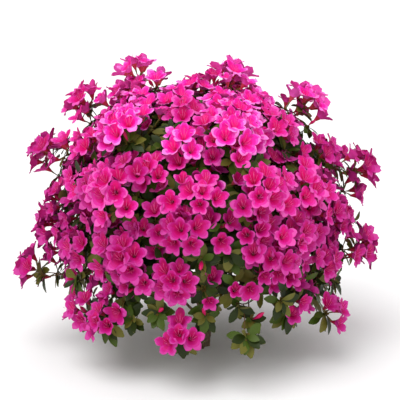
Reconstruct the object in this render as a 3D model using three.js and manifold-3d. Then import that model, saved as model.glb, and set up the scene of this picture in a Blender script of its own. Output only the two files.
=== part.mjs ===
// An azalea shrub in full bloom, rooted in the ground, as an assembly of named solids: a short
// leaning trunk, boughs that fork from it, and dense masses of twigs, leaves and open flowers.
// Millimetres, +Z up. The origin is the middle of the flat cut under the trunk, at ground level.
import * as THREE from "three";
import { mergeVertices } from "three/addons/utils/BufferGeometryUtils.js";
import Module from "manifold-3d";

const wasm = await Module();
wasm.setup();

// ---------------------------------------------------------------- driving dimensions

// The dome that the mouths of the flowers lie on. Above its centre it is half an ellipsoid.
// Below, the sides come down more steeply, to a flatter underside.
const CROWN = {
  centre: new THREE.Vector3(0, 0, 286),
  halfWidth: 300,
  halfDepth: 286,
  rise: 250,
  drop: 226,
  roundPower: 2,
  steepPower: 3.6,
};
const CLEARANCE = 16; // nothing but the trunk comes nearer the ground than this

const TRUNK = {
  height: 82,
  lean: new THREE.Vector3(24, 8, 0), // how far its top stands to one side of its foot
  radius: 13.5,
  topRadius: 11.5,
  crest: 0.55, // the top closes to this share of its radius
  flare: 8, // how much the roots widen the foot
  flareHeight: 15,
  buttresses: 5,
  sides: 15,
  rings: 7,
};

// Rings of masses. The elevation is seen from the crown's centre. The heart of each mass lies this
// share of the way to the dome, and the core round the heart reaches no further than core.
const RINGS = [
  { name: "skirt", elevation: -32, heart: 0.66, count: 6, turn: 8, core: 80 },
  { name: "side", elevation: 12, heart: 0.6, count: 7, turn: 38, core: 94 },
  { name: "shoulder", elevation: 49, heart: 0.6, count: 5, turn: 14, core: 98 },
  { name: "top", elevation: 84, heart: 0.6, count: 1, turn: 70, core: 100 },
];
const CORE_ROUGHNESS = 0.12;
const CORE_DEPTH = 40; // the cores keep this far inside the dome
const CORE_GAP = 5; // and this far inside their own mass's space
const MASS_GAP = 1.2; // free space kept between two masses
const LIMB_GAP = 0.35; // free space cut between two limbs that fork
const TIP_GAP = 0.3; // free space between a bough's tip and the stem of its mass
const ENTRY_ROOM = 14; // a bough ends this far inside its mass's space
const SHORTEST_BOUGH = 0.38; // the least share of the way to a mass's heart that its bough goes

// Wood: how thick a limb is follows from how many sprays it carries.
const TWIG_RADIUS = 1.7;
const WOOD_POWER = 0.4;
const SEAT_WEIGHT = 0.4; // a seat on a core weighs this much of a spray on its own twig
const FORKS = [0.6, 0.78, 0.92]; // where boughs leave the trunk, as shares of its height
const BOUGH = { sides: 5, steps: 4, reuse: 0.6, bow: -0.05 };
const TWIG = { sides: 3, steps: 1, reuse: 0.35, bow: 0 };

// Flowers and leaves are a little larger than life, because there are fewer of them.
const LOBES = 5;
const FLOWER = { length: 44, span: 60, throat: 21, notch: 17, notchHeight: 31 };
const FLOWER_TILT = radians(41); // how far the flowers at a shoot's tip lean apart
const LEAF = { length: 42, width: 17, thickness: 2.4, widest: 0.58 };
const LEAF_ROOT = 0.8; // how far a leaf's foot goes past the middle of its twig
const SHOOT_LEAVES = 2;
const LEAFY_SEAT_LEAVES = 3;
const LEAF_ASIDE = 20; // how far a seat's leaves stand to the side of it
const SEAT_SINK = 6; // how deep the foot of a flower or a leaf is sunk in the core
const SHOOT_SPACING = 66;
const SEAT_SPACING = 51;
const SEAT_TRIES = 1200;
const LOWEST_SINE = -0.56; // the lowest seats, as the sine of their elevation
// Leaves take over from blossom lower down: from how far below the crown's centre to how far,
// and the share of the seats that bear leaves only, at the top and at the bottom.
const LEAFY_RANGE = [-60, 150];
const LEAFY_SHARE = [0.04, 0.44];
const TOUCH = 0.3; // pieces that share more volume than this would grow through one another

// Leading shoots that stand out of the dome: angle round the outline, and how far they stand out.
const LEADERS = [
  { angle: 14, reach: 48 },
  { angle: 44, reach: 38 },
  { angle: 76, reach: 26 },
  { angle: 115, reach: 50 },
  { angle: 137, reach: 46 },
  { angle: 160, reach: 42 },
  { angle: 187, reach: 8 },
  { angle: 198, reach: 54 },
  { angle: 348, reach: 41 },
];
const OUTLINE_LEAN = 14; // the outline's plane leans back by this angle
// The same shoots again, on outlines turned about +Z: they stand out less, and leave out the top.
const LEADER_TURNS = [0, 60, 120];
const TURNED_REACH = 0.5;
const TURNED_TOP = 0.8; // the height of the highest, as the sine of its elevation
const TURNED_FOOT = -0.2; // and of the lowest

// Low shoots round the foot of the crown. Between them its underside stays higher.
const LOW_SHOOTS = [
  { azimuth: -147, elevation: -29, reach: 6 },
  { azimuth: -132, elevation: -29, reach: 12 },
  { azimuth: -97, elevation: -30, reach: 12 },
  { azimuth: -72, elevation: -31, reach: 16 },
  { azimuth: -24, elevation: -29, reach: 22 },
  { azimuth: 18, elevation: -32, reach: 20 },
  { azimuth: 60, elevation: -31, reach: 15 },
  { azimuth: 98, elevation: -30, reach: 22 },
  { azimuth: 140, elevation: -32, reach: 18 },
];

// The ways to hold a flower or a leaf, tried in turn until one keeps clear of everything.
const TIP_WAYS = pairs([1, 0.5, 1.4, 0.1], [0, 0.5, -0.5, 1, -1]); // share of the tilt, swing
const SEAT_WAYS = pairs([0, 0.1, 0.2, 0.3], [0.5, 0]); // giving way to the middle, facing
const SEAT_SIZES = [1, 0.84];
const LEAF_SWINGS = [0, 0.6, -0.6, 1.2, -1.2];

const BLOSSOM = { color: 0xd4268c, roughness: 0.55, metalness: 0 };
const BARK = { color: 0x57422f, roughness: 0.9, metalness: 0 };

// ---------------------------------------------------------------- small tools

const UP = new THREE.Vector3(0, 0, 1);
const ALONG_X = new THREE.Vector3(1, 0, 0);
const ALONG_Y = new THREE.Vector3(0, 1, 0);
const { lerp, smoothstep } = THREE.MathUtils;

function radians(degrees) {
  return THREE.MathUtils.degToRad(degrees);
}

// Every pair of a first and a second choice.
function pairs(firsts, seconds) {
  return firsts.flatMap((first) => seconds.map((second) => [first, second]));
}

// The seeded rule: a number from 0 to 1, always the same for the same item and trait.
function chance(item, trait) {
  const wave = Math.sin(item * 12.9898 + trait * 78.233) * 43758.5453;
  return wave - Math.floor(wave);
}

function directionOf(azimuth, sine) {
  const flat = Math.sqrt(1 - sine * sine);
  return new THREE.Vector3(flat * Math.cos(azimuth), flat * Math.sin(azimuth), sine);
}

// The point of the dome in a direction from the crown's centre, moved outwards by reach.
function domePoint(direction, reach = 0) {
  const { x, y, z } = direction;
  const [vertical, power] = z > 0 ? [CROWN.rise, CROWN.roundPower] : [CROWN.drop, CROWN.steepPower];
  const flat = Math.hypot(x / CROWN.halfWidth, y / CROWN.halfDepth);
  const closeness = (flat ** power + Math.abs(z / vertical) ** power) ** (1 / power);
  return direction.clone().multiplyScalar(1 / closeness + reach).add(CROWN.centre);
}

// How far inside the dome a point lies, measured on the line from the crown's centre.
function depthAt(point) {
  const direction = point.clone().sub(CROWN.centre).normalize();
  return domePoint(direction).distanceTo(CROWN.centre) - point.distanceTo(CROWN.centre);
}

// A direction leaned away from an axis, towards an angle round it.
function leaned(axis, lean, around) {
  const reference = Math.abs(axis.z) < 0.9 ? UP : ALONG_X;
  const hinge = new THREE.Vector3().crossVectors(axis, reference).normalize();
  return axis.clone().applyAxisAngle(hinge.applyAxisAngle(axis, around), lean);
}

function cornersOf(geometry) {
  const places = geometry.getAttribute("position");
  return Array.from({ length: places.count }, (_, i) => {
    return new THREE.Vector3().fromBufferAttribute(places, i);
  });
}

// A closed geometry as a solid. Faces that shrank to a line are left out.
function solidOf(geometry) {
  const bare = geometry.clone();
  bare.deleteAttribute("normal");
  bare.deleteAttribute("uv");
  const merged = mergeVertices(bare, 1e-4);
  const faces = [];
  for (let i = 0; i < merged.index.count; i += 3) {
    const face = [0, 1, 2].map((k) => merged.index.getX(i + k));
    if (new Set(face).size === 3) faces.push(...face);
  }
  const vertProperties = merged.getAttribute("position").array;
  const triVerts = new Uint32Array(faces);
  return new wasm.Manifold(new wasm.Mesh({ numProp: 3, vertProperties, triVerts }));
}

// The largest body of a solid, without loose scraps and sealed hollows.
function mainBody(solid) {
  return solid.decompose().reduce((best, body) => (body.volume() > best.volume() ? body : best));
}

function boxesMeet(one, other) {
  const [a, b] = [one.boundingBox(), other.boundingBox()];
  return [0, 1, 2].every((axis) => a.min[axis] < b.max[axis] && b.min[axis] < a.max[axis]);
}

function namedMesh(name, solid, look) {
  const { vertProperties, triVerts } = solid.getMesh();
  const geometry = new THREE.BufferGeometry();
  geometry.setAttribute("position", new THREE.BufferAttribute(vertProperties, 3));
  geometry.setIndex(new THREE.BufferAttribute(triVerts, 1));
  geometry.computeVertexNormals();
  const mesh = new THREE.Mesh(geometry, new THREE.MeshStandardMaterial(look));
  mesh.name = name;
  return mesh;
}

// ---------------------------------------------------------------- limbs

// A cylinder bent along a curve, with its radius at each share of the way given by radiusAt.
function limbSolid(curve, radiusAt, { sides, steps }) {
  const geometry = new THREE.CylinderGeometry(1, 1, 1, sides, steps);
  const frames = curve.computeFrenetFrames(steps);
  const places = geometry.getAttribute("position");
  for (let i = 0; i < places.count; i++) {
    const step = Math.round((places.getY(i) + 0.5) * steps);
    const radius = radiusAt(step / steps);
    const point = curve.getPointAt(step / steps);
    point.addScaledVector(frames.normals[step], radius * places.getX(i));
    point.addScaledVector(frames.binormals[step], -radius * places.getZ(i));
    places.setXYZ(i, point.x, point.y, point.z);
  }
  return solidOf(geometry);
}

function woodRadius(sprays) {
  return TWIG_RADIUS * Math.max(1, sprays) ** WOOD_POWER;
}

// The trunk's axis leans more and more slowly from its foot to its top.
function trunkAxis(height) {
  return TRUNK.lean.clone().multiplyScalar((height / TRUNK.height) ** 0.8).setZ(height);
}

// The trunk tapers, closes a little at its top, and widens at its foot in low buttresses.
function trunkSolid(extra) {
  const geometry = new THREE.CylinderGeometry(1, 1, 1, TRUNK.sides, TRUNK.rings);
  const places = geometry.getAttribute("position");
  for (let i = 0; i < places.count; i++) {
    const [x, share, y] = [places.getX(i), places.getY(i) + 0.5, -places.getZ(i)];
    const height = TRUNK.height * share ** 1.6;
    const buttress = 0.6 + 0.4 * Math.cos(TRUNK.buttresses * Math.atan2(y, x));
    const flare = TRUNK.flare * buttress * Math.exp(-height / TRUNK.flareHeight);
    const closing = share > 0.99 ? TRUNK.crest : 1;
    const radius = lerp(TRUNK.radius, TRUNK.topRadius, share) * closing + flare + extra;
    const axis = trunkAxis(height);
    places.setXYZ(i, axis.x + radius * x, axis.y + radius * y, height);
  }
  return solidOf(geometry);
}

// Joins each tip to whichever grown point reaches it with the least new wood. The elbow of each
// new limb can then carry later limbs, and every limb counts the sprays that it feeds.
function grow(roots, tips, { reuse, bow }) {
  const joints = roots.map((place, i) => ({ place, path: 12 * i, parent: null, sprays: 0 }));
  return tips.map(({ place, sprays }) => {
    const cost = (joint) => joint.place.distanceTo(place) + reuse * joint.path;
    const from = joints.reduce((best, joint) => (cost(joint) < cost(best) ? joint : best));
    const span = from.place.distanceTo(place);
    const middle = from.place.clone().lerp(place, 0.5).addScaledVector(UP, bow * span);
    const elbow = { place: middle, path: from.path + span / 2, parent: from, sprays: 0 };
    joints.push(elbow);
    for (let joint = elbow; joint; joint = joint.parent) joint.sprays += sprays;
    return { from, elbow };
  });
}

// ---------------------------------------------------------------- the space of each mass

function massOf(ring, number) {
  const azimuth = radians(ring.turn + (360 * number) / ring.count);
  const pole = domePoint(directionOf(azimuth, Math.sin(radians(ring.elevation))));
  const heart = CROWN.centre.clone().lerp(pole, ring.heart);
  return { ring, heart, pole, label: `${ring.name}_${number + 1}`, shoots: [], seats: [] };
}

// How far a point lies inside a mass's own space, which is all that lies nearest to its heart.
function roomIn(mass, point) {
  const own = point.distanceToSquared(mass.heart);
  const others = masses.filter((other) => other !== mass);
  const rooms = others.map((other) => {
    return (point.distanceToSquared(other.heart) - own) / (2 * mass.heart.distanceTo(other.heart));
  });
  return Math.min(...rooms);
}

function massAt(point) {
  const distance = (mass) => mass.heart.distanceToSquared(point);
  return masses.reduce((best, mass) => (distance(mass) < distance(best) ? mass : best));
}

// A bough hands over to its mass's stem soon after it has come into the mass's own space.
function entryOf(mass, fork) {
  let share = 1;
  let entry = mass.heart;
  while (share > SHORTEST_BOUGH && roomIn(mass, entry) > ENTRY_ROOM) {
    share -= 0.02;
    entry = fork.clone().lerp(mass.heart, share);
  }
  return entry;
}

// ---------------------------------------------------------------- where blossom grows

// Adds a place for blossom at the dome, if there is still room for it.
function addSite(kind, direction, reach, spacing) {
  const mouth = domePoint(direction, reach);
  if (sites.some((site) => site.mouth.distanceTo(mouth) < spacing)) return;
  const facing = direction.clone().addScaledVector(UP, 0.25).normalize();
  const place = mouth.clone().addScaledVector(facing, -FLOWER.length);
  const low = smoothstep(CROWN.centre.z - mouth.z, ...LEAFY_RANGE);
  const site = { mouth, facing, place, low, number: sites.length };
  sites.push(site);
  massAt(place)[kind].push(site);
}

// The low and the leading shoots come first, then seats in an even spiral over the dome.
function placeSites() {
  for (const { azimuth, elevation, reach } of LOW_SHOOTS) {
    const direction = directionOf(radians(azimuth), Math.sin(radians(elevation)));
    addSite("shoots", direction, reach, SHOOT_SPACING);
  }
  for (const [turn, { angle, reach }] of pairs(LEADER_TURNS, LEADERS)) {
    const shoot = new THREE.Vector3(Math.cos(radians(angle)), 0, Math.sin(radians(angle)));
    shoot.applyAxisAngle(ALONG_X, -radians(OUTLINE_LEAN));
    shoot.applyAxisAngle(UP, radians(turn));
    if (turn && (shoot.z > TURNED_TOP || shoot.z < TURNED_FOOT)) continue;
    addSite("shoots", shoot, turn ? TURNED_REACH * reach : reach, SHOOT_SPACING);
  }
  for (let i = 1; i < SEAT_TRIES; i++) {
    const azimuth = 2 * Math.PI * ((i * 0.7548776662) % 1);
    const sine = lerp(LOWEST_SINE, 1, (i * 0.569840291) % 1);
    addSite("seats", directionOf(azimuth, sine), 0, SEAT_SPACING);
  }
}

// ---------------------------------------------------------------- flowers and leaves

// A flower's funnel has five sides. Each goes on outwards as a lobe, and the inner face runs from
// the throat straight out to the rim.
function flowerShape() {
  const places = [0, 0, 0, 0, FLOWER.throat, 0];
  const addToRim = (angle, radius, height) => {
    places.push(radius * Math.sin(angle), height, radius * Math.cos(angle));
  };
  const faces = [];
  for (let lobe = 0; lobe < LOBES; lobe++) {
    const middle = (2 * Math.PI * lobe) / LOBES;
    addToRim(middle - Math.PI / LOBES, FLOWER.notch, FLOWER.notchHeight);
    addToRim(middle, FLOWER.span / 2, FLOWER.length);
    const [notch, tip] = [2 + 2 * lobe, 3 + 2 * lobe];
    const next = 2 + 2 * ((lobe + 1) % LOBES);
    faces.push(0, next, notch, notch, next, tip);
    faces.push(1, notch, tip, 1, tip, next);
  }
  const geometry = new THREE.BufferGeometry();
  geometry.setAttribute("position", new THREE.Float32BufferAttribute(places, 3));
  return geometry.setIndex(faces);
}

// A leaf of eight faces, drawn out from an octahedron, widest a little past its middle.
function leafShape() {
  const geometry = new THREE.OctahedronGeometry(1);
  const places = geometry.getAttribute("position");
  for (let i = 0; i < places.count; i++) {
    const share = places.getY(i) / 2 + 0.5;
    const atWidest = Math.abs(share - 0.5) < 0.1;
    places.setX(i, (places.getX(i) * LEAF.width) / 2);
    places.setY(i, LEAF.length * (atWidest ? LEAF.widest : share));
    places.setZ(i, (places.getZ(i) * LEAF.thickness) / 2);
  }
  return geometry;
}

// A copy of a shape, its own +Y along a direction and turned about it, standing at a place.
function planted(shape, place, along, turn, size = 1) {
  const aim = new THREE.Quaternion().setFromUnitVectors(ALONG_Y, along);
  aim.multiply(new THREE.Quaternion().setFromAxisAngle(ALONG_Y, turn));
  const scale = new THREE.Vector3(size, size, size);
  return shape.clone().applyMatrix4(new THREE.Matrix4().compose(place, aim, scale));
}

// Whether every corner keeps to the mass's own space, off the ground and clear of the boughs.
function keepsClear(mass, corners) {
  return corners.every((corner) => {
    if (corner.z < CLEARANCE || roomIn(mass, corner) < MASS_GAP / 2) return false;
    return limbs.every(({ points, clear }) => {
      return points.every((point) => point.distanceTo(corner) > clear);
    });
  });
}

// Adds a flower or a leaf in the first way that keeps clear and grows through nothing, if any.
function addFirstClear(mass, grown, ownTwig, ways, shapeFor) {
  for (const way of ways) {
    const shape = shapeFor(way);
    if (!keepsClear(mass, cornersOf(shape))) continue;
    const solid = solidOf(shape);
    const near = grown.filter((piece) => piece !== ownTwig && boxesMeet(piece, solid));
    if (near.some((piece) => piece.intersect(solid).volume() > TOUCH)) continue;
    grown.push(solid);
    return;
  }
}

// The flowers at a shoot's tip lean apart.
function addTipFlowers(mass, grown, twig, { number, place, facing }) {
  const count = chance(number, 2) < 0.4 ? 3 : 2;
  for (let i = 0; i < count; i++) {
    const around = 2 * Math.PI * (i / count + chance(number, 5));
    addFirstClear(mass, grown, twig, TIP_WAYS, ([share, swing]) => {
      const along = leaned(facing, FLOWER_TILT * share, around + swing);
      return planted(flower, place, along, chance(number, 6 + i));
    });
  }
}

// The leaves stand round a shoot just below its flowers.
function addTipLeaves(mass, grown, twig, { number, place, back }) {
  for (let i = 0; i < SHOOT_LEAVES; i++) {
    const around = 2 * Math.PI * (i / SHOOT_LEAVES + 0.1 * chance(number, 10 + i) + chance(number, 9));
    const lean = radians(100 + 30 * chance(number, 20 + i));
    const start = place.clone().addScaledVector(back, 5 + 3 * i);
    addFirstClear(mass, grown, twig, LEAF_SWINGS, (swing) => {
      const along = leaned(back, lean, around + swing);
      const foot = start.clone().addScaledVector(along, -LEAF_ROOT);
      return planted(leaf, foot, along, Math.PI * chance(number, 30 + i));
    });
  }
}

// Where a line from outside towards a mass's heart comes a little way into its core.
function seatOn(mass, core, outside) {
  const inward = mass.heart.clone().sub(outside).normalize();
  const start = mass.heart.clone().addScaledVector(inward, -2 * mass.ring.core);
  const [hit] = new THREE.Raycaster(start, inward).intersectObject(core);
  return hit.point.addScaledVector(inward, SEAT_SINK);
}

// A flower on the core faces away from the mass's heart, or more outwards and up. Where it would
// leave the mass's space it gives way towards the middle of the mass, or is a smaller flower.
function addSeatFlower(mass, grown, core, { number, mouth, facing }) {
  addFirstClear(mass, grown, null, pairs(SEAT_SIZES, SEAT_WAYS), ([size, [give, turn]]) => {
    const foot = seatOn(mass, core, mouth.clone().lerp(mass.pole, give));
    const out = foot.clone().sub(mass.heart).normalize().lerp(facing, turn).normalize();
    return planted(flower, foot, out, chance(number, 6), size);
  });
}

function addSeatLeaves(mass, grown, core, { number, mouth, facing }, count) {
  for (let i = 0; i < count; i++) {
    const around = 2 * Math.PI * (i / count + chance(number, 9));
    const lean = radians(40 + 24 * chance(number, 20 + i));
    addFirstClear(mass, grown, null, LEAF_SWINGS, (swing) => {
      const aside = leaned(facing, Math.PI / 2, around + swing);
      const foot = seatOn(mass, core, mouth.clone().addScaledVector(aside, LEAF_ASIDE));
      const along = leaned(facing, lean, around + swing);
      return planted(leaf, foot, along, Math.PI * chance(number, 30 + i));
    });
  }
}

// ---------------------------------------------------------------- building the solids

// A dense mass's core: a ball of roughened facets round its heart, kept inside its own space.
function coreShape(mass) {
  const ball = new THREE.IcosahedronGeometry(1, 1);
  ball.deleteAttribute("normal");
  ball.deleteAttribute("uv");
  const geometry = mergeVertices(ball);
  const places = geometry.getAttribute("position");
  cornersOf(geometry).forEach((corner, i) => {
    const roughness = CORE_ROUGHNESS * (2 * chance(i, mass.heart.x) - 1);
    corner.setLength(mass.ring.core * (1 + roughness)).add(mass.heart);
    while (roomIn(mass, corner) < CORE_GAP || depthAt(corner) < CORE_DEPTH) {
      corner.lerp(mass.heart, 0.04);
    }
    places.setXYZ(i, corner.x, corner.y, corner.z);
  });
  return geometry;
}

// The limb from a joint to a mass's heart: its bough, cut clear of every limb grown before it, and
// beyond a cut straight across, the stem of its mass.
function splitLimb(mass, { from, elbow }, earlier) {
  const curve = new THREE.CatmullRomCurve3([from.place, elbow.place, mass.entry, mass.heart]);
  const thick = Math.min(woodRadius(elbow.sprays), 0.85 * TRUNK.topRadius);
  const thin = Math.min(woodRadius(SEAT_WEIGHT * mass.seats.length), thick);
  const whole = limbSolid(curve, (share) => lerp(thick, thin, share), BOUGH);
  const wider = limbSolid(curve, (share) => lerp(thick, thin, share) + LIMB_GAP, BOUGH);
  const across = curve.getTangent(2 / 3);
  const level = across.dot(mass.entry);
  const backwards = across.clone().negate().toArray();
  const below = whole.trimByPlane(backwards, TIP_GAP / 2 - level);
  mass.bough = mainBody(earlier.reduce((solid, cutter) => solid.subtract(cutter), below));
  mass.stem = whole.trimByPlane(across.toArray(), level + TIP_GAP / 2);
  mass.stemPoints = [0.82, 0.9, 0.985].map((share) => curve.getPoint(share));
  mass.sheath = wider.trimByPlane(backwards, -TIP_GAP / 2 - level);
  earlier.push(wider);
  const points = curve.getPoints(24).filter((point) => across.dot(point) < level);
  limbs.push({ points, clear: thick + 4 });
}

// Boughs grow from the trunk, the nearest first.
function growBoughs() {
  const fork = trunkAxis(TRUNK.height);
  for (const mass of masses) mass.entry = entryOf(mass, fork);
  const order = [...masses].sort((a, b) => a.entry.distanceTo(fork) - b.entry.distanceTo(fork));
  const tips = order.map(({ entry, seats }) => ({ place: entry, sprays: SEAT_WEIGHT * seats.length }));
  const roots = FORKS.map((share) => trunkAxis(share * TRUNK.height));
  const grown = grow(roots, tips, BOUGH);
  const earlier = [trunkSolid(LIMB_GAP)];
  order.forEach((mass, i) => splitLimb(mass, grown[i], earlier));
}

// A tapering twig from a joint of its mass to just past the foot of the flowers at its tip.
function twigSolid(site, { from, elbow }) {
  const thick = woodRadius(elbow.sprays);
  site.back = elbow.place.clone().sub(site.place).normalize();
  const end = site.place.clone().addScaledVector(site.back, -3);
  const curve = new THREE.CatmullRomCurve3([from.place, elbow.place, end]);
  return limbSolid(curve, (share) => lerp(thick, TWIG_RADIUS, share), TWIG);
}

// One mass: its stem and core, the twigs and sprays of its leading shoots, and its seats.
function massSolid(mass) {
  const core = new THREE.Mesh(coreShape(mass));
  const tips = mass.shoots.map(({ place }) => ({ place, sprays: 1 }));
  const joints = grow(mass.stemPoints, tips, TWIG);
  const twigs = mass.shoots.map((site, i) => twigSolid(site, joints[i]));
  const grown = [...twigs];
  mass.shoots.forEach((site, i) => addTipFlowers(mass, grown, twigs[i], site));
  mass.shoots.forEach((site, i) => addTipLeaves(mass, grown, twigs[i], site));
  for (const site of mass.seats) {
    const leafy = chance(site.number, 2) < lerp(...LEAFY_SHARE, site.low);
    const beside = chance(site.number, 3) < 0.33 ? 1 : 0;
    if (!leafy) addSeatFlower(mass, grown, core, site);
    addSeatLeaves(mass, grown, core, site, leafy ? LEAFY_SEAT_LEAVES : beside);
  }
  const whole = wasm.Manifold.union([mass.stem, solidOf(core.geometry), ...grown]);
  const sheaths = masses.map((other) => other.sheath).filter((sheath) => boxesMeet(sheath, whole));
  return mainBody(sheaths.reduce((solid, sheath) => solid.subtract(sheath), whole).simplify(0.02));
}

const masses = RINGS.flatMap((ring) => {
  return Array.from({ length: ring.count }, (_, number) => massOf(ring, number));
});
const trunkPoints = [0, 0.3, 0.6, 0.9].map((share) => trunkAxis(share * TRUNK.height));
const limbs = [{ points: trunkPoints, clear: TRUNK.radius + 6 }];
const sites = [];
const flower = flowerShape();
const leaf = leafShape();
placeSites();
growBoughs();

const shrub = new THREE.Group();
shrub.name = "azalea_shrub";
shrub.add(namedMesh("trunk", trunkSolid(0), BARK));
for (const mass of masses) shrub.add(namedMesh(`bough_${mass.label}`, mass.bough, BARK));
for (const mass of masses) shrub.add(namedMesh(`mass_${mass.label}`, massSolid(mass), BLOSSOM));

export default shrub;
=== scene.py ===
# %% [markdown]
# # An azalea shrub in full bloom
#
# An evergreen azalea is a dense dome. A short trunk forks low down into boughs, each bough
# breaks up into twigs, and every twig ends in a spray: a ring of small leaves with one to six
# funnel-shaped flowers above it. The CAD model behind this lesson holds the trunk, the boughs
# and one solid mass for each part of the crown. Here the masses are grown again from the same
# rule, down to single petals, leaves and stamens.
#
# Such a plant could be scattered with particles, but particles are lost when the model is
# exported. So every petal and leaf is real mesh, worked out with numpy for all copies at once.

import bpy
import numpy as np
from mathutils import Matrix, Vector


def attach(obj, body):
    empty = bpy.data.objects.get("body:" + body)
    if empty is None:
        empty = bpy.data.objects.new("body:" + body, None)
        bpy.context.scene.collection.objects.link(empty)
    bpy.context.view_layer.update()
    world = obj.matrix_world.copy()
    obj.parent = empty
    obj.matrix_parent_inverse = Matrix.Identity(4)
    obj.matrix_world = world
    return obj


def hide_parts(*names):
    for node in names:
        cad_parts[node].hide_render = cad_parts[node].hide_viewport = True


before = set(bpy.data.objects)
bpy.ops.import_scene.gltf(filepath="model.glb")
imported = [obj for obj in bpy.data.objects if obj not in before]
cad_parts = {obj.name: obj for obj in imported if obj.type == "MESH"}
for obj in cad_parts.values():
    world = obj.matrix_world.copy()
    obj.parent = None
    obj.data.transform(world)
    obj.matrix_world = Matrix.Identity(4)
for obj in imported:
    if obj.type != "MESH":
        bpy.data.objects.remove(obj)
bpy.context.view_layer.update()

# %% [markdown]
# ## The sizes that everything follows from
#
# The crown is a dome: half an ellipsoid above its centre, and below it steeper sides that come
# down to a flatter underside. The flowers' mouths lie on it. These are the same values as in
# the CAD source, in metres, because what grows here has to reach as far as the solids do.

# %% Sizes shared with the CAD source
CROWN_CENTRE = np.array([0, 0, 0.286])
CROWN_HALVES = np.array([0.300, 0.286])
CROWN_RISE = 0.250
CROWN_DROP = 0.226
ROUND_POWER = 2.0
STEEP_POWER = 3.6

TRUNK_HEIGHT = 0.082
TRUNK_LEAN = np.array([0.024, 0.008, 0])
TRUNK_RADIUS = 0.0135
TRUNK_TOP_RADIUS = 0.0115
TRUNK_FLARE = 0.008
FLARE_HEIGHT = 0.015
BUTTRESSES = 5

# name, elevation, share of the way to the dome where each heart lies, number of masses, turn
RINGS = [
    ("skirt", -32, 0.66, 6, 8),
    ("side", 12, 0.6, 7, 38),
    ("shoulder", 49, 0.6, 5, 14),
    ("top", 84, 0.6, 1, 70),
]
ENTRY_ROOM = 0.014
SHORTEST_BOUGH = 0.38
BOUGH_TWIG_RADIUS = 0.0017
WOOD_POWER = 0.4
SEAT_WEIGHT = 0.4
FORKS = [0.6, 0.78, 0.92]

# Leading shoots: the angle round the outline, and how far each stands out of the dome.
LEADERS = [
    (14, 0.048), (44, 0.038), (76, 0.026), (115, 0.050), (137, 0.046),
    (160, 0.042), (187, 0.008), (198, 0.054), (348, 0.041),
]
OUTLINE_LEAN = 14
# The same again on turned outlines: they stand out less, and leave out the top.
LEADER_TURNS = [0, 60, 120]
TURNED_REACH = 0.5
TURNED_TOP = 0.8
TURNED_FOOT = -0.2
# Low shoots round the foot of the crown: azimuth, elevation, and how far each stands out.
LOW_SHOOTS = [
    (-147, -29, 0.006), (-132, -29, 0.012), (-97, -30, 0.012),
    (-72, -31, 0.016), (-24, -29, 0.022), (18, -32, 0.020),
    (60, -31, 0.015), (98, -30, 0.022), (140, -32, 0.018),
]
SHOOT_SPACING = 0.066
SEAT_SPACING = 0.051
SEAT_TRIES = 1200
LOWEST_SINE = -0.56
LEAFY_RANGE = (-0.060, 0.150)
FLOWER_LENGTH = 0.044
print(sum(ring[3] for ring in RINGS), "masses in", len(RINGS), "rings")

# %% [markdown]
# ## The sizes of the finer detail
#
# The solids stop at whole sprays and a smooth surface. The values below are this scene's own.
# They say how smaller sprays fill in between the bouquets, how uneven the surface is, and where
# the bloom parts and leaves show.

# %% Sizes of this scene's own
# The share of leafy sprays high up and low down, and how much higher their tips stand.
LEAFY_SHARE = (0.08, 0.42)
LEAFY_RISE = (0.018, 0.012)
LEAFY_SHOOT = 3  # the low shoot that holds leaves and buds only
# Side sprays fill in a little below the others.
SIDE_SPACING = 0.038
SIDE_DEPTH = 0.016
LOWEST_SIDE = 0.125
# The surface is uneven: clefts where two masses meet, and every spray a little deeper by chance.
CLEFT_DEPTH = 0.014
CLEFT_WIDTH = 0.050
RELIEF = 0.012
# Seats that stand alone are bouquets at the surface. The others sit between them, deeper.
BOUQUET_SPACING = 0.068
BOUQUET_OPENNESS = 0.3
BOUQUET_CLEFT = 0.5
LOWEST_BOUQUET = 0.17
BETWEEN_DEPTH = 0.018
# Companions are short shoots close round each leading shoot.
COMPANIONS = 3
COMPANION_TURN = 7
COMPANION_REACH = 0.4
COMPANION_SPACING = 0.030

# Leafy openings in the bloom: azimuth, elevation and half width, all in degrees.
OPENINGS = [
    (-57, 10, 7), (-80, -13, 8), (-66, 24, 6),
    (-135, -16, 7), (-128, 40, 7), (-100, -6, 6),
]
OPENING_TURNS = [0, 120, 240]
OPENING_DEPTH = 0.026
# Sprays turn up towards the light: a little all over, and more near the ground.
LIFT = 0.25
LOW_LIFT = 0.75
print(len(OPENINGS) * len(OPENING_TURNS), "openings in the bloom")

# %% [markdown]
# ## Small tools for points and directions
#
# A plant needs many small differences, but the same ones on every run. So instead of a random
# number generator there is one seeded rule: the fraction that is left of a fast sine wave.

# %% Directions and the seeded rule
UP = np.array([0.0, 0.0, 1.0])


def unit(vectors):
    """Each vector divided by its own length."""
    return vectors / np.linalg.norm(vectors, axis=-1, keepdims=True)


def dot(a, b):
    return (a * b).sum(-1, keepdims=True)


def chance(item, trait):
    """A number from 0 to 1, the same each time for the same item and trait."""
    wave = np.sin(np.asarray(item) * 12.9898 + trait * 78.233) * 43758.5453
    return wave - np.floor(wave)


def smoothstep(x, low, high):
    share = np.clip((x - low) / (high - low), 0, 1)
    return share * share * (3 - 2 * share)


def direction_of(azimuth, sine):
    """The unit vector at an azimuth, with the sine of its elevation given."""
    flat = np.sqrt(1 - sine * sine)
    return np.stack([flat * np.cos(azimuth), flat * np.sin(azimuth), sine + 0 * azimuth], -1)


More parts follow.
